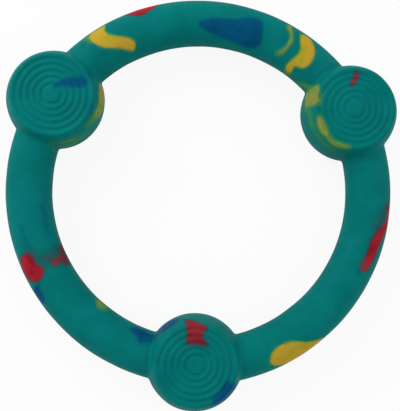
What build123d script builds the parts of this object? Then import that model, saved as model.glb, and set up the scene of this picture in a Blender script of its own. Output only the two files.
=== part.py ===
from build123d import *
import os
from collections import namedtuple
from math import asin, atan2, cos, degrees, radians, sin

# A moulded rubber chew ring: a round cord bent into a closed hoop, three grooved pads
# standing through it, and cut chips of coloured rubber lying flush in the surface.
# Origin at the hoop's centre, on its mid plane. +Z points out of the front faces of the pads.

# Hoop, in millimetres
hoop_outer_diameter = 150.0
cord_diameter = 17.6

# Pads
pad_angles = {"right_pad": 30, "left_pad": 150, "lower_pad": 270}
arc_starts = {"top_arc": "right_pad", "left_arc": "left_pad", "right_arc": "lower_pad"}
pad_height = 26.0
pad_face_diameter = 31.0
pad_bulge = 3.2
pad_edge_radius = 0.85
crease_radius = 1.5
stub_length = 0.9

# Soft concentric grooves in both faces of a pad
groove_count = 5
groove_first_radius = 3.75
groove_depth = 0.45
rim_land = 0.75

# Chips
chip_depth = 2.0
chip_side_share = 0.57
chip_unit_angle = 15.2
chip_cord_angle = 25
cut_overrun = 2.0

# Sizes that follow
cord_radius = cord_diameter / 2
hoop_radius = hoop_outer_diameter / 2 - cord_radius
pad_half_height = pad_height / 2
pad_face_radius = pad_face_diameter / 2
pad_belly_radius = pad_face_radius + pad_bulge
pad_reach = pad_belly_radius + crease_radius + stub_length
pad_half_angle = degrees(asin(pad_reach / hoop_radius))
pad_rim_roll = degrees(atan2(pad_half_height, pad_face_radius))
chip_unit_length = hoop_radius * radians(chip_unit_angle)
groove_pitch = (pad_face_radius - rim_land - groove_first_radius) / (groove_count - 1 / 2)

# A chip faces outwards at an angle around the hoop or the pad, and at a roll: 0 is level, 90 is the
# front and 270 the back. Its outline runs clockwise along the surface first, then across it against
# the roll. In the hoop these are shares of a unit angle's length and of the cord's diameter, and on a
# pad they are shares of its face radius.
Chip = namedtuple("Chip", "name angle roll outline_shares")
front_roll = 90
back_roll = 270

leaf_shares = (
    (0.57, -0.14),
    (0.47, -0.27),
    (0.20, -0.32),
    (-0.08, -0.27),
    (-0.40, -0.05),
    (-0.72, 0.18),
    (-0.30, 0.31),
    (0.10, 0.29),
    (0.40, 0.17),
)
wedge_shares = (
    (-0.79, -0.02),
    (-0.46, 0.13),
    (0.00, 0.21),
    (0.44, 0.30),
    (0.53, 0.26),
    (0.58, 0.04),
    (0.60, -0.20),
    (0.53, -0.28),
    (0.10, -0.31),
    (-0.30, -0.24),
)
lump_shares = (
    (0.31, -0.05),
    (0.17, -0.11),
    (0.02, -0.12),
    (-0.11, -0.19),
    (-0.23, -0.15),
    (-0.31, -0.03),
    (-0.29, 0.14),
    (-0.16, 0.28),
    (0.06, 0.33),
    (0.27, 0.24),
    (0.34, 0.09),
)
elbow_shares = (
    (0.04, 0.38),
    (-0.01, 0.22),
    (0.08, 0.09),
    (0.30, -0.09),
    (0.41, -0.27),
    (0.33, -0.38),
    (0.10, -0.26),
    (-0.20, -0.07),
    (-0.38, 0.20),
    (-0.36, 0.40),
    (-0.14, 0.43),
)
foot_shares = (
    (-0.30, 0.41),
    (-0.08, 0.43),
    (0.09, 0.33),
    (0.21, 0.13),
    (0.23, -0.07),
    (0.14, -0.21),
    (-0.01, -0.30),
    (0.01, -0.40),
    (-0.09, -0.43),
    (-0.17, -0.30),
    (-0.12, -0.06),
    (-0.17, 0.14),
)
hook_shares = (
    (-0.13, 0.38),
    (-0.01, 0.18),
    (0.07, -0.02),
    (0.05, -0.18),
    (-0.03, -0.35),
    (-0.12, -0.36),
    (-0.04, -0.19),
    (-0.02, -0.06),
    (-0.07, 0.12),
    (-0.22, 0.34),
)
edge_shares = (
    (-0.40, 0.08),
    (-0.24, -0.11),
    (-0.08, -0.20),
    (0.10, -0.15),
    (0.30, -0.04),
    (0.32, 0.16),
    (-0.02, 0.28),
    (-0.32, 0.22),
)
streak_shares = (
    (-1.17, 0.17),
    (-0.86, 0.30),
    (-0.45, 0.24),
    (-0.05, 0.09),
    (0.40, -0.02),
    (0.74, -0.11),
    (0.82, -0.22),
    (0.76, -0.31),
    (0.55, -0.29),
    (0.21, -0.23),
    (-0.21, -0.08),
    (-0.63, 0.09),
)
lobes_shares = (
    (-0.04, 0.18),
    (-0.03, 0.03),
    (0.02, -0.12),
    (0.16, -0.23),
    (0.16, -0.36),
    (-0.06, -0.38),
    (-0.27, -0.27),
    (-0.26, -0.10),
    (-0.19, 0.04),
    (-0.22, 0.14),
    (-0.13, 0.21),
)
shard_shares = (
    (0.10, -0.25),
    (-0.02, -0.18),
    (-0.20, -0.17),
    (-0.27, -0.05),
    (-0.14, 0.10),
    (0.06, 0.08),
    (0.12, -0.08),
)
crumb_shares = (
    (0.18, -0.14),
    (0.11, 0.04),
    (0.04, 0.15),
    (-0.06, 0.16),
    (-0.19, 0.02),
    (-0.12, -0.18),
    (0.06, -0.22),
)
thorn_shares = (
    (0.18, -0.07),
    (0.00, -0.24),
    (-0.11, -0.21),
    (-0.13, 0.00),
    (-0.11, 0.11),
    (-0.02, 0.06),
    (0.11, 0.00),
)

cord_chips = (
    Chip("red_chip_top_left_edge", 110, 35, edge_shares),
    Chip("yellow_chip_top_left", 123, front_roll, elbow_shares),
    Chip("blue_chip_top", 80, 108, wedge_shares),
    Chip("yellow_sliver_top_right", 61.5, 85, hook_shares),
    Chip("yellow_chip_top_right", 55, 99, foot_shares),
    Chip("red_chip_right_edge", 347, 50, streak_shares),
    Chip("yellow_chip_lower_right", 302, 50, leaf_shares),
    Chip("blue_chip_lower_left", 248.5, 132, thorn_shares),
    Chip("red_chip_left", 207, 65, lump_shares),
    Chip("red_chip_left_inner", 206.5, 135, lobes_shares),
    Chip("blue_chip_left_edge", 214, 30, shard_shares),
    Chip("yellow_sliver_left_inner", 230.5, 160, crumb_shares),
    Chip("blue_chip_back_top_left", 118, 292, leaf_shares),
    Chip("red_chip_back_top", 93, 258, lump_shares),
    Chip("yellow_chip_back_top_right", 68, back_roll, elbow_shares),
    Chip("yellow_chip_back_left", 182, 262, wedge_shares),
    Chip("blue_chip_back_left", 203, 287, foot_shares),
    Chip("red_chip_back_lower_left", 234, 268, edge_shares),
    Chip("blue_chip_back_right", 356, 262, elbow_shares),
    Chip("yellow_chip_back_lower_right", 331, 286, leaf_shares),
    Chip("red_chip_back_lower_right", 305, 262, lump_shares),
)

pad_face_wedge_shares = (
    (-0.17, 0.13),
    (-0.23, 0.38),
    (-0.17, 0.66),
    (-0.07, 0.88),
    (0.04, 0.90),
    (0.11, 0.79),
    (0.05, 0.57),
    (-0.09, 0.29),
)
pad_wall_band_shares = (
    (-0.60, -0.04),
    (-0.42, -0.24),
    (-0.24, -0.29),
    (0.05, -0.30),
    (0.26, -0.31),
    (0.38, -0.16),
    (0.28, 0.06),
    (0.00, 0.20),
    (-0.30, 0.24),
    (-0.52, 0.14),
)
pad_wall_block_shares = (
    (0.22, 0.00),
    (0.12, -0.32),
    (-0.12, -0.37),
    (-0.29, -0.36),
    (-0.35, -0.18),
    (-0.32, 0.10),
    (-0.15, 0.30),
    (0.12, 0.32),
    (0.22, 0.20),
)
pad_rim_crescent_shares = (
    (0.50, -0.15),
    (0.32, -0.13),
    (0.09, -0.07),
    (-0.13, -0.01),
    (-0.35, -0.04),
    (-0.60, -0.13),
    (-0.42, 0.03),
    (-0.20, 0.10),
    (0.10, 0.07),
    (0.36, 0.04),
)
pad_face_stripe_shares = (
    (0.07, 0.92),
    (0.13, 0.87),
    (0.09, 0.72),
    (0.00, 0.59),
    (-0.10, 0.55),
    (-0.06, 0.69),
    (0.01, 0.83),
)
pad_edge_patch_shares = (
    (-0.25, 0.74),
    (-0.08, 0.67),
    (0.10, 0.57),
    (0.24, 0.48),
    (0.18, 0.40),
    (0.17, 0.24),
    (0.26, 0.12),
    (-0.10, 0.11),
    (-0.22, 0.13),
    (-0.25, 0.30),
    (-0.27, 0.52),
)
pad_rim_patch_shares = (
    (-0.25, -0.11),
    (-0.36, -0.04),
    (-0.39, 0.18),
    (-0.28, 0.40),
    (-0.04, 0.41),
    (0.16, 0.24),
    (0.33, -0.03),
    (0.20, -0.09),
    (-0.02, -0.09),
)
pad_wall_shard_shares = (
    (-0.30, 0.04),
    (-0.20, -0.25),
    (0.01, -0.29),
    (0.20, -0.26),
    (0.28, -0.06),
    (0.18, 0.12),
    (-0.06, 0.20),
)

pad_chips = {
    "right_pad": (
        Chip("yellow_chip_right_pad_wall", 160, 25, pad_wall_block_shares),
        Chip("yellow_sliver_right_pad_rim", 228, pad_rim_roll, pad_rim_crescent_shares),
        Chip("red_sliver_right_pad_face", 94, front_roll, pad_face_stripe_shares),
        Chip("blue_chip_back_right_pad", 85, back_roll, pad_face_wedge_shares),
    ),
    "left_pad": (
        Chip("blue_chip_left_pad_face", 25, front_roll, pad_face_wedge_shares),
        Chip("yellow_chip_left_pad_wall", 352, 15, pad_wall_band_shares),
        Chip("red_chip_back_left_pad", 115, -35, pad_wall_block_shares),
    ),
    "lower_pad": (
        Chip("red_chip_lower_pad_face", 90, 65, pad_edge_patch_shares),
        Chip("blue_chip_lower_pad_rim", 315, pad_rim_roll, pad_rim_patch_shares),
        Chip("blue_chip_lower_pad_wall", 127, 15, pad_wall_shard_shares),
        Chip("yellow_chip_back_lower_pad", 240, -pad_rim_roll, pad_rim_patch_shares),
    ),
}


def hoop_point(angle):
    """The point on the cord's centre line at an angle around the hoop."""
    return Vector(hoop_radius * cos(radians(angle)), hoop_radius * sin(radians(angle)), 0)


def cord(radius, start, sweep, seam_roll=0):
    """A length of the hoop's cord, cut square at both ends, whose surface closes at a roll."""
    seam = (cos(radians(seam_roll)), 0, sin(radians(seam_roll)))
    section = Plane(hoop_point(0), x_dir=seam, z_dir=(0, -1, 0)) * Circle(radius)
    return Rot(0, 0, start) * revolve(section, Axis.Z, sweep)


def chip_cord(chip, radius):
    """The length of cord around a chip, whose surface closes on the far side."""
    return cord(radius, chip.angle - chip_cord_angle, 2 * chip_cord_angle, chip.roll + 180)


def grooved_face(height, depth):
    """A pad's face in half section, from its axis to its rim, as soft ridges and grooves."""
    level = height - depth / 2
    quarter = groove_pitch / 4
    middles = [groove_first_radius + index * groove_pitch for index in range(groove_count)]
    inner = (middles[0] - 2 * quarter, height)
    outer = (middles[-1] + 2 * quarter, height)
    edges = [
        Line((0, height), inner),
        TangentArc(inner, (middles[0] - quarter, level), tangent=(1, 0)),
        TangentArc(outer, (middles[-1] + quarter, level), tangent=(-1, 0)),
        Line(outer, (pad_face_radius, height)),
    ]
    for middle in middles:
        bottom = (middle, height - depth)
        edges.append(ThreePointArc((middle - quarter, level), bottom, (middle + quarter, level)))
    for middle in middles[:-1]:
        crest = middle + 2 * quarter
        edges.append(ThreePointArc((crest - quarter, level), (crest, height), (crest + quarter, level)))
    return edges


def plain_face(radius, height):
    """The flat face of a pad's core in half section."""
    return [Line((0, height), (radius, height))]


def pad_section(front, back, face_radius, belly_radius, half_height):
    """The half section of a pad between its two faces, with a bulging side."""
    axis_line = Line((0, -half_height), (0, half_height))
    side = ThreePointArc((face_radius, half_height), (belly_radius, 0), (face_radius, -half_height))
    return make_face([axis_line, *front, side, *back])


def grooved_section():
    """The half section of a grooved pad with rounded rims."""
    front = grooved_face(pad_half_height, groove_depth)
    back = grooved_face(-pad_half_height, -groove_depth)
    section = pad_section(front, back, pad_face_radius, pad_belly_radius, pad_half_height)
    rims = section.vertices().sort_by(Axis.X)[-2:]
    return fillet(rims, pad_edge_radius)


def core_section():
    """The half section of what is left of a pad under the chips."""
    radius = pad_face_radius - chip_depth
    height = pad_half_height - chip_depth
    front = plain_face(radius, height)
    back = plain_face(radius, -height)
    return pad_section(front, back, radius, pad_belly_radius - chip_depth, height)


def turned(section, angle, seam_angle):
    """A drum turned from its half section on the cord's centre line, whose surface closes at an angle."""
    return Pos(hoop_point(angle)) * Rot(0, 0, seam_angle) * revolve(Plane.XZ * section, Axis.Z)


def pad(angle):
    """A grooved pad with the two short stubs of cord that run into it."""
    drum = turned(grooved_section(), angle, angle)
    stubs = cord(cord_radius, angle - pad_half_angle, 2 * pad_half_angle)
    joined = drum + stubs
    creases = new_edges(drum, stubs, combined=joined)
    return fillet(creases, crease_radius)


def chip_column(chip, centre, units, start, reach):
    """A chip's outline carried from a start below the surface straight out past it."""
    angle = radians(chip.angle)
    roll = radians(chip.roll)
    facing = Vector(cos(roll) * cos(angle), cos(roll) * sin(angle), sin(roll))
    clockwise = Vector(sin(angle), -cos(angle), 0)
    points = [(along * units[0], across * units[1]) for along, across in chip.outline_shares]
    outline = make_face(Spline(*points, periodic=True))
    plane = Plane(centre + facing * start, x_dir=clockwise, z_dir=facing)
    return extrude(plane * outline, reach - start)


def build():
    """Every piece of the ring by name."""
    chips = {}
    for chip in cord_chips:
        units = (chip_unit_length, cord_diameter)
        start = cord_radius * (1 - chip_side_share)
        column = chip_column(chip, hoop_point(chip.angle), units, start, cord_radius + cut_overrun)
        core = chip_cord(chip, cord_radius - chip_depth)
        chips[chip.name] = (chip_cord(chip, cord_radius) & column) - core

    for name, angle in pad_angles.items():
        for chip in pad_chips[name]:
            units = (pad_face_radius, pad_face_radius)
            on_face = chip.roll in (front_roll, back_roll)
            start = pad_half_height - chip_depth if on_face else pad_face_radius / 2
            column = chip_column(chip, hoop_point(angle), units, start, pad_height)
            drum = turned(grooved_section(), angle, chip.angle + 180)
            core = turned(core_section(), angle, chip.angle + 180)
            chips[chip.name] = (drum & column) - core

    bodies = {name: pad(angle) for name, angle in pad_angles.items()}
    arc_sweep = 360 / len(pad_angles) - 2 * pad_half_angle
    for name, pad_name in arc_starts.items():
        bodies[name] = cord(cord_radius, pad_angles[pad_name] + pad_half_angle, arc_sweep)

    pieces = {name: body - list(chips.values()) for name, body in bodies.items()}
    return pieces | chips


os.makedirs("parts", exist_ok=True)
for name, piece in build().items():
    export_step(piece, f"parts/{name}.step")
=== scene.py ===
from collections import namedtuple
from math import cos, pi, radians, sin

import bmesh
import bpy
import numpy as np
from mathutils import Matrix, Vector, noise
from mathutils.kdtree import KDTree


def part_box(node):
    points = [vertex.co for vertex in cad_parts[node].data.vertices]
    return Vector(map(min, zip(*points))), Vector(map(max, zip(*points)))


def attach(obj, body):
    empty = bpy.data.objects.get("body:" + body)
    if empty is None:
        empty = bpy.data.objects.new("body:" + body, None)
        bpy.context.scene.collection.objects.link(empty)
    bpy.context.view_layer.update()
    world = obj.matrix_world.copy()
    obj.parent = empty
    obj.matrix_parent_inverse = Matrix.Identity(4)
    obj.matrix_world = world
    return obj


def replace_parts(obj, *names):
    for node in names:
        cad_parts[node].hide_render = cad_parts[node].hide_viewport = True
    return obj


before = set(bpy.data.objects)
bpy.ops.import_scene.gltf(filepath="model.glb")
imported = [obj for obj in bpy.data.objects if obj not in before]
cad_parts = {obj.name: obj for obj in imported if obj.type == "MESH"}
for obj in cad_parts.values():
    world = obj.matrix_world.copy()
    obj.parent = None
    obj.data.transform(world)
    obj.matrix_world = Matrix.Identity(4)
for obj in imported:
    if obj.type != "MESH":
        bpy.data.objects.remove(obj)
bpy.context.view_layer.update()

scene = bpy.context.scene
scene.view_settings.view_transform = "Standard"

# Sizes read from the frame, in metres
mm = 0.001
cord_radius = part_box("top_arc")[1].z
hoop_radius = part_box("top_arc")[1].y - cord_radius
pad_half_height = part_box("lower_pad")[1].z
pad_belly_radius = -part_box("lower_pad")[0].y - hoop_radius

# Places of the pads around the hoop, in degrees
pad_angles = {"right_pad": 30, "left_pad": 150, "lower_pad": 270}

# The camera that sees the ring as the photograph does, in pixels of its frame and in metres
frame_height_px = 411
focal_px = 833
shift_px = (-20, 20)
sensor_mm = 36
camera_place = (-0.01319, -0.02659, 0.32461)
camera_turn_degrees = (2.254, -3.816, 1.958)
camera_near = 0.01

# Light and floor: at a level of 1 a white surface looks white, and lengths are in metres
white = (1, 1, 1, 1)
world_level = 0.66
key_level = 0.55
key_place = (-0.44, 0.36, 0.38)
key_width = 0.5
fill_level = 0.16
fill_place = (0.80, 0.05, 0.45)
fill_width = 0.9
floor_radius = 3.0
floor_segments = 96
floor_gap = 0.2 * mm
floor_grey = 0.9
floor_glow = 0.9

# Rubber: colours in sRGB shares, from what runs out at a border through the usual one to the brightest
slots = ("yellow_rubber", "red_rubber", "blue_rubber", "teal_rubber")
palettes = {
    "teal_rubber": ((0.018, 0.422, 0.412), (0.025, 0.440, 0.430), (0.032, 0.458, 0.446)),
    "yellow_rubber": ((0.570, 0.580, 0.135), (0.715, 0.605, 0.195), (0.750, 0.555, 0.225)),
    "red_rubber": ((0.490, 0.110, 0.150), (0.605, 0.135, 0.180), (0.650, 0.155, 0.200)),
    "blue_rubber": ((0.022, 0.280, 0.420), (0.032, 0.315, 0.460), (0.040, 0.325, 0.500)),
}
palette_stops = (0.36, 0.50, 0.64)
display_gamma = 2.2
rubber_gloss = 0.028
roughness_range = (0.48, 0.62)
patch_range = (0.55, 1.0)
noise_roughness = 0.6
noise_range = (0.3, 0.7)
mottle_size = 11 * mm
mottle_detail = 5
streak_size = 3.5 * mm
streak_detail = 4
grain_size = 0.55 * mm
grain_detail = 3
grain_depth = 0.12 * mm
grain_strength = 0.22

# Moulded skin: slow waves that the hand feels and the eye sees in the highlights
wave_size = 9 * mm
wave_height = 0.10 * mm
wave_seed = 1
weld_distance = 0.002 * mm
sharp_angle_degrees = 34

# Chips' borders, where the two rubbers run into each other
border_width = 0.9 * mm
border_share = 0.5
border_ripple = 0.7
border_ripple_size = 2.2 * mm

# Parting line left by the mould's two halves
flash_height = 0.12 * mm
flash_width = 0.32 * mm
flash_sides = 6
flash_steps = 1440


def cord_place(angle, roll):
    """A point on the cord, at an angle around the hoop and a roll around the cord: 90 is the front."""
    reach = hoop_radius + cord_radius * cos(radians(roll))
    height = cord_radius * sin(radians(roll))
    return Vector((reach * cos(radians(angle)), reach * sin(radians(angle)), height))


def pad_place(pad, angle, radius_share, height_share):
    """A point on a pad, at an angle around it, in shares of its belly radius and half height."""
    hub = radians(pad_angles[pad])
    radius = pad_belly_radius * radius_share
    x = hoop_radius * cos(hub) + radius * cos(radians(angle))
    y = hoop_radius * sin(hub) + radius * sin(radians(angle))
    return Vector((x, y, pad_half_height * height_share))


def pad_path(pad, angles, radius_share, height_share):
    """Points around a pad at one height."""
    return [pad_place(pad, angle, radius_share, height_share) for angle in angles]


# Smears of another rubber in a surface: the path they follow, their width and their strength
Smear = namedtuple("Smear", "slot path width strength")
left_pad_smears = (
    Smear("yellow_rubber", pad_path("left_pad", (272, 286, 300), 0.95, 0.58), 1.9 * mm, 0.42),
    Smear("yellow_rubber", pad_path("left_pad", (288, 298), 0.95, 0.57), 1.1 * mm, 0.70),
    Smear("yellow_rubber", pad_path("left_pad", (284, 296), 0.99, 0.22), 2.0 * mm, 0.50),
    Smear("yellow_rubber", pad_path("left_pad", (296, 310), 0.97, 0.42), 1.8 * mm, 0.45),
    Smear("yellow_rubber", pad_path("left_pad", (336, 326), 0.945, 0.60), 1.8 * mm, 0.50),
    Smear("yellow_rubber", pad_path("left_pad", (342, 332, 322), 0.91, 0.72), 1.6 * mm, 0.55),
    Smear("teal_rubber", pad_path("left_pad", (345, 335), 0.96, 0.5), 4.0 * mm, 0.35),
    Smear("blue_rubber", pad_path("left_pad", (346, 336), 0.81, 1.0), 1.2 * mm, 0.35),
    Smear("blue_rubber", pad_path("left_pad", (29, 33), 0.84, 0.94), 1.5 * mm, 0.50),
)
right_pad_smears = (
    Smear("yellow_rubber", pad_path("right_pad", (168, 180), 0.955, 0.52), 1.8 * mm, 0.60),
    Smear("yellow_rubber", pad_path("right_pad", (186, 195, 204), 0.915, 0.70), 2.2 * mm, 0.45),
    Smear("yellow_rubber", pad_path("right_pad", (214, 228, 243), 0.92, 0.68), 2.0 * mm, 0.38),
    Smear("yellow_rubber", pad_path("right_pad", (236, 256), 0.84, 0.97), 1.5 * mm, 0.65),
)
lower_pad_smears = (
    Smear("blue_rubber", pad_path("lower_pad", (150, 138, 130), 0.975, 0.38), 1.7 * mm, 1.0),
    Smear("blue_rubber", pad_path("lower_pad", (333, 318), 0.73, 1.0), 1.3 * mm, 0.45),
)
hoop_smears = (
    Smear("blue_rubber", [cord_place(50, 88), cord_place(50, 112)], 1.4 * mm, 0.28),
    Smear("yellow_rubber", [cord_place(49.3, 174), cord_place(47, 154)], 1.4 * mm, 0.75),
    Smear("yellow_rubber", [cord_place(56.6, 146), cord_place(56, 172)], 1.4 * mm, 0.80),
    Smear("blue_rubber", [cord_place(64, 70), cord_place(63.5, 90)], 1.3 * mm, 0.25),
    Smear("blue_rubber", [cord_place(129, 95), cord_place(127, 112)], 1.3 * mm, 0.30),
    Smear("yellow_rubber", [cord_place(128.8, 35), cord_place(128.8, 62)], 1.4 * mm, 0.55),
    Smear("blue_rubber", [cord_place(131, 52), cord_place(129.5, 74)], 1.3 * mm, 0.35),
    Smear("yellow_rubber", [cord_place(167.5, 151), cord_place(165.5, 149)], 1.0 * mm, 0.32),
    Smear("blue_rubber", [cord_place(188, 132), cord_place(198, 132)], 1.6 * mm, 0.35),
    Smear("blue_rubber", [cord_place(194, 71), cord_place(200, 71)], 1.2 * mm, 0.40),
    Smear("red_rubber", [cord_place(201.5, 78), cord_place(208.4, 94)], 1.4 * mm, 0.30),
    Smear("red_rubber", [cord_place(205.7, 102), cord_place(204.6, 156)], 2.0 * mm, 0.45),
    Smear("blue_rubber", [cord_place(250.5, 124), cord_place(253, 132)], 1.5 * mm, 0.85),
    Smear(
        "blue_rubber",
        [cord_place(250.5, 146), pad_place("lower_pad", 150, 0.975, 0.38)],
        1.7 * mm,
        1.0,
    ),
    Smear("teal_rubber", [cord_place(334.5, 73), cord_place(337.5, 77)], 1.6 * mm, 0.50),
    Smear("blue_rubber", [cord_place(335, 88), cord_place(334.5, 78)], 1.1 * mm, 0.45),
    Smear("red_rubber", [cord_place(356, 58), cord_place(349.5, 80)], 1.8 * mm, 0.16),
    Smear(
        "red_rubber",
        [cord_place(357.6, 41.6), cord_place(352, 61), cord_place(345, 75)],
        1.3 * mm,
        0.60,
    ),
    Smear("red_rubber", [cord_place(3, 14), cord_place(357, 33)], 0.9 * mm, 0.55),
)
smears = left_pad_smears + right_pad_smears + lower_pad_smears + hoop_smears

# Chips with teal worked through them
teal_shares = {
    "red_chip_left_inner": 0.30,
    "red_chip_lower_pad_face": 0.16,
    "red_sliver_right_pad_face": 0.12,
    "yellow_sliver_top_right": 0.42,
    "yellow_chip_right_pad_wall": 0.45,
    "yellow_sliver_right_pad_rim": 0.40,
    "yellow_chip_left_pad_wall": 0.24,
    "yellow_sliver_left_inner": 0.60,
}


def slot_of(node):
    """The rubber a node is made of."""
    rubber_name = node.split("_")[0] + "_rubber"
    return rubber_name if rubber_name in slots else "teal_rubber"


def node_points(node):
    """A CAD node's points as an array."""
    return mesh_points(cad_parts[node].data)


def mesh_points(mesh):
    """A mesh's points as an array."""
    points = np.zeros(len(mesh.vertices) * 3)
    mesh.vertices.foreach_get("co", points)
    return points.reshape(-1, 3)


def tree_of(points):
    """A search tree over points."""
    tree = KDTree(len(points))
    for index, point in enumerate(points):
        tree.insert(point, index)
    tree.balance()
    return tree


def eased(share):
    """A soft step from 0 to 1."""
    share = min(max(share, 0.0), 1.0)
    return share * share * (3 - 2 * share)


class Borders:
    """How far a point is from the teal bodies and from the nearest chip, and that chip's rubber."""

    def __init__(self, bodies, chips):
        self.body_tree = tree_of(np.concatenate([node_points(name) for name in bodies]))
        clouds = [node_points(name) for name in chips]
        self.chip_tree = tree_of(np.concatenate(clouds))
        self.chip_slots = [slot_of(name) for name, cloud in zip(chips, clouds) for _ in cloud]

    def shares(self, points, own_slot):
        """Each point's shares of the other rubbers that have run into it, in the order of slots."""
        shares = np.zeros((len(points), len(slots)))
        for index, point in enumerate(points):
            if own_slot == "teal_rubber":
                _, nearest, distance = self.chip_tree.find(point)
                other = self.chip_slots[nearest]
            else:
                _, _, distance = self.body_tree.find(point)
                other = "teal_rubber"
            ripple = 1 + border_ripple * noise.noise(Vector(point) / border_ripple_size)
            reach = distance / (border_width * ripple)
            shares[index, slots.index(other)] = border_share * (1 - eased(reach))
        return shares


def path_distance(points, path):
    """How far each point is from a path of straight lines."""
    nearest = np.full(len(points), np.inf)
    for start, end in zip(path, path[1:]):
        run = np.array(end - start)
        offset = points - np.array(start)
        share = np.clip(offset @ run / (run @ run), 0, 1)
        nearest = np.minimum(nearest, np.linalg.norm(offset - share[:, None] * run, axis=1))
    return nearest


def smear_shares(points):
    """Each point's shares of the smears that cross it, in the order of slots."""
    shares = np.zeros((len(points), len(slots)))
    for smear in smears:
        fall = np.exp(-(path_distance(points, smear.path) / smear.width) ** 2)
        column = slots.index(smear.slot)
        shares[:, column] = np.maximum(shares[:, column], smear.strength * fall)
    return shares


def waved(points):
    """The points moved by the skin's slow waves, alike for every piece so that borders stay closed."""
    moved = [wave_height * noise.noise_vector(Vector(point) / wave_size) for point in points]
    return points + np.array([tuple(move) for move in moved])


def finish_mesh(mesh, points, slot, shares):
    """Sets a mesh's points, colour shares and material, and shades it smooth between its edges."""
    mesh.vertices.foreach_set("co", points.ravel())
    attribute = mesh.color_attributes.new("bleed", "FLOAT_COLOR", "POINT")
    attribute.data.foreach_set("color", np.clip(shares, 0, 1).astype(np.float32).ravel())
    mesh.materials.clear()
    mesh.materials.append(materials[slot])
    mesh.shade_smooth()
    mesh.set_sharp_from_angle(angle=radians(sharp_angle_degrees))
    mesh.update()


def welded_copy(node):
    """A node's mesh with its split points joined."""
    form = bmesh.new()
    form.from_mesh(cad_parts[node].data)
    bmesh.ops.remove_doubles(form, verts=form.verts, dist=weld_distance)
    mesh = bpy.data.meshes.new(f"{node}_skin")
    form.to_mesh(mesh)
    form.free()
    if "custom_normal" in mesh.attributes:
        mesh.attributes.remove(mesh.attributes["custom_normal"])
    return mesh


def add_piece(name, mesh):
    """A shown piece that moves with the part."""
    piece = bpy.data.objects.new(name, mesh)
    scene.collection.objects.link(piece)
    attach(piece, "root")
    return piece


def skin(node, borders):
    """The piece that stands for a CAD node. A smear of its own rubber keeps its border clear."""
    slot = slot_of(node)
    mesh = welded_copy(node)
    points = mesh_points(mesh)
    smeared = smear_shares(points)
    clear = 1 - smeared[:, [slots.index(slot)]]
    shares = borders.shares(points, slot) * clear + smeared
    shares[:, slots.index("teal_rubber")] += teal_shares.get(node, 0)
    finish_mesh(mesh, waved(points), slot, shares)
    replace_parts(add_piece(f"{node}_skin", mesh), node)


def outline(outside):
    """Points where the mould's halves meet, around the outside or the inside of the ring."""
    depsgraph = bpy.context.evaluated_depsgraph_get()
    start_radius = 2 * hoop_radius if outside else 0
    points = []
    for step in range(flash_steps):
        turn = 2 * pi * step / flash_steps
        outward = Vector((cos(turn), sin(turn), 0))
        hit, place, *_ = scene.ray_cast(depsgraph, outward * start_radius, -outward if outside else outward)
        if hit:
            points.append(place)
    return points


def parting_line(name, path, borders):
    """A low closed bead along a path in the mould's parting plane."""
    verts = []
    for index, place in enumerate(path):
        run = path[(index + 1) % len(path)] - path[index - 1]
        sideways = Vector((run.y, -run.x, 0)).normalized()
        for side in range(flash_sides):
            turn = 2 * pi * side / flash_sides
            up = Vector((0, 0, flash_width * sin(turn)))
            verts.append(place + sideways * flash_height * cos(turn) + up)
    faces = []
    for index in range(len(path)):
        ring = index * flash_sides
        following = (index + 1) % len(path) * flash_sides
        for side in range(flash_sides):
            beside = (side + 1) % flash_sides
            faces.append((ring + side, ring + beside, following + beside, following + side))
    mesh = bpy.data.meshes.new(name)
    mesh.from_pydata(verts, [], faces)
    points = mesh_points(mesh)
    finish_mesh(mesh, waved(points), "teal_rubber", borders.shares(points, "teal_rubber"))
    add_piece(name, mesh)


def noise_texture(tree, place, size, detail):
    """A noise whose lumps are about a size across."""
    node = tree.nodes.new("ShaderNodeTexNoise")
    node.inputs["Scale"].default_value = 1 / size
    node.inputs["Detail"].default_value = detail
    node.inputs["Roughness"].default_value = noise_roughness
    tree.links.new(place, node.inputs["Vector"])
    return node.outputs["Fac"]


def ramp(tree, factor, colours):
    """A colour that goes from the first to the last of a palette."""
    node = tree.nodes.new("ShaderNodeValToRGB")
    stops = node.color_ramp.elements
    stops.new(palette_stops[1])
    for stop, position, colour in zip(stops, palette_stops, colours):
        stop.position = position
        stop.color = (*colour, 1)
    tree.links.new(factor, node.inputs["Fac"])
    return node.outputs["Color"]


def map_noise(tree, factor, low, high):
    """A noise's usual range moved to another range."""
    node = tree.nodes.new("ShaderNodeMapRange")
    for name, value in zip(("From Min", "From Max", "To Min", "To Max"), (*noise_range, low, high)):
        node.inputs[name].default_value = value
    tree.links.new(factor, node.inputs["Value"])
    return node.outputs["Result"]


def combined(tree, operation, first, second):
    """Two factors combined by an operation."""
    node = tree.nodes.new("ShaderNodeMath")
    node.operation = operation
    tree.links.new(first, node.inputs[0])
    tree.links.new(second, node.inputs[1])
    return node.outputs["Value"]


def mixed(tree, factor, first, second):
    """One colour with a share of another."""
    node = tree.nodes.new("ShaderNodeMix")
    node.data_type = "RGBA"
    tree.links.new(factor, node.inputs["Factor"])
    tree.links.new(first, node.inputs["A"])
    node.inputs["B"].default_value = (*second, 1)
    return node.outputs["Result"]


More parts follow.
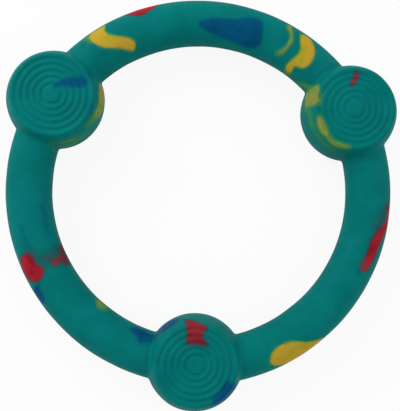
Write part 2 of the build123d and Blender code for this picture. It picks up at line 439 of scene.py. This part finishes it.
def rubber(slot):
    """Mottled moulded rubber, with what has run into it from the rubbers beside it."""
    material = bpy.data.materials.new(slot)
    material.use_nodes = True
    tree = material.node_tree
    shader = tree.nodes["Principled BSDF"]
    shader.inputs["Specular IOR Level"].default_value = rubber_gloss
    place = tree.nodes.new("ShaderNodeTexCoord").outputs["Object"]
    mottle = noise_texture(tree, place, mottle_size, mottle_detail)
    streak = noise_texture(tree, place, streak_size, streak_detail)
    grain = noise_texture(tree, place, grain_size, grain_detail)

    bleed = tree.nodes.new("ShaderNodeAttribute")
    bleed.attribute_name = "bleed"
    parts = tree.nodes.new("ShaderNodeSeparateColor")
    tree.links.new(bleed.outputs["Color"], parts.inputs["Color"])
    shares = (*(parts.outputs[name] for name in ("Red", "Green", "Blue")), bleed.outputs["Alpha"])
    patchy = map_noise(tree, streak, *patch_range)
    colour = ramp(tree, mottle, palettes[slot])
    for other, share in zip(slots, shares):
        if other != slot:
            colour = mixed(tree, combined(tree, "MULTIPLY", share, patchy), colour, palettes[other][0])

    linear = tree.nodes.new("ShaderNodeGamma")
    linear.inputs["Gamma"].default_value = display_gamma
    tree.links.new(colour, linear.inputs["Color"])
    tree.links.new(linear.outputs["Color"], shader.inputs["Base Color"])
    tree.links.new(map_noise(tree, streak, *roughness_range), shader.inputs["Roughness"])

    bump = tree.nodes.new("ShaderNodeBump")
    bump.inputs["Strength"].default_value = grain_strength
    bump.inputs["Distance"].default_value = grain_depth
    tree.links.new(grain, bump.inputs["Height"])
    tree.links.new(bump.outputs["Normal"], shader.inputs["Normal"])
    return material


def seen_directly(tree):
    """1 for rays from the camera, straight or by way of gloss, and 0 for light on the object."""
    path = tree.nodes.new("ShaderNodeLightPath").outputs
    glossy = combined(tree, "MAXIMUM", path["Is Glossy Ray"], path["Is Transmission Ray"])
    return combined(tree, "MAXIMUM", path["Is Camera Ray"], glossy)


def white_world():
    """A plain white surround that lights the object evenly."""
    world = bpy.data.worlds.new("surround")
    world.use_nodes = True
    tree = world.node_tree
    light = tree.nodes["Background"]
    light.inputs["Color"].default_value = white
    light.inputs["Strength"].default_value = world_level
    shown = tree.nodes.new("ShaderNodeBackground")
    shown.inputs["Color"].default_value = white
    mix = tree.nodes.new("ShaderNodeMixShader")
    tree.links.new(seen_directly(tree), mix.inputs["Fac"])
    tree.links.new(light.outputs["Background"], mix.inputs[1])
    tree.links.new(shown.outputs["Background"], mix.inputs[2])
    tree.links.new(mix.outputs["Shader"], tree.nodes["World Output"].inputs["Surface"])
    scene.world = world


def white_floor():
    """A round pale floor that keeps a faint shadow."""
    form = bmesh.new()
    bmesh.ops.create_circle(form, cap_ends=True, radius=floor_radius, segments=floor_segments)
    bmesh.ops.translate(form, verts=form.verts, vec=(0, 0, -pad_half_height - floor_gap))
    mesh = bpy.data.meshes.new("floor")
    form.to_mesh(mesh)
    form.free()
    material = bpy.data.materials.new("floor")
    material.use_nodes = True
    tree = material.node_tree
    matte = tree.nodes["Principled BSDF"]
    matte.inputs["Base Color"].default_value = (floor_grey, floor_grey, floor_grey, 1)
    matte.inputs["Roughness"].default_value = 1
    matte.inputs["Specular IOR Level"].default_value = 0
    glow = tree.nodes.new("ShaderNodeEmission")
    glow_share = tree.nodes.new("ShaderNodeMath")
    glow_share.operation = "MULTIPLY"
    glow_share.inputs[1].default_value = floor_glow
    tree.links.new(seen_directly(tree), glow_share.inputs[0])
    mix = tree.nodes.new("ShaderNodeMixShader")
    tree.links.new(glow_share.outputs["Value"], mix.inputs["Fac"])
    tree.links.new(matte.outputs["BSDF"], mix.inputs[1])
    tree.links.new(glow.outputs["Emission"], mix.inputs[2])
    tree.links.new(mix.outputs["Shader"], tree.nodes["Material Output"].inputs["Surface"])
    mesh.materials.append(material)
    floor = bpy.data.objects.new("floor", mesh)
    scene.collection.objects.link(floor)


def lamp(name, place, width, level):
    """A soft square lamp that faces the ring and gives a level of light there."""
    light = bpy.data.lights.new(name, "AREA")
    light.size = width
    light.energy = level * pi ** 2 * Vector(place).length_squared
    lamp_object = bpy.data.objects.new(name, light)
    lamp_object.location = place
    lamp_object.rotation_euler = (-Vector(place)).to_track_quat("-Z", "Y").to_euler()
    scene.collection.objects.link(lamp_object)


def photo_camera():
    """The camera at the photograph's place."""
    data = bpy.data.cameras.new("photo_camera")
    data.sensor_width = sensor_mm
    data.lens = focal_px / frame_height_px * sensor_mm
    data.shift_x = shift_px[0] / frame_height_px
    data.shift_y = shift_px[1] / frame_height_px
    data.clip_start = camera_near
    camera = bpy.data.objects.new("photo_camera", data)
    camera.location = camera_place
    camera.rotation_euler = [radians(turn) for turn in camera_turn_degrees]
    scene.collection.objects.link(camera)
    scene.camera = camera


noise.seed_set(wave_seed)
materials = {slot: rubber(slot) for slot in slots}
chips = sorted(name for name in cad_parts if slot_of(name) != "teal_rubber")
bodies = sorted(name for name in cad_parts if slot_of(name) == "teal_rubber")
borders = Borders(bodies, chips)
outlines = {"parting_line_outside": outline(True), "parting_line_inside": outline(False)}
for node in bodies + chips:
    skin(node, borders)
for name, path in outlines.items():
    parting_line(name, path, borders)

white_world()
white_floor()
lamp("key", key_place, key_width, key_level)
lamp("fill", fill_place, fill_width, fill_level)
photo_camera()
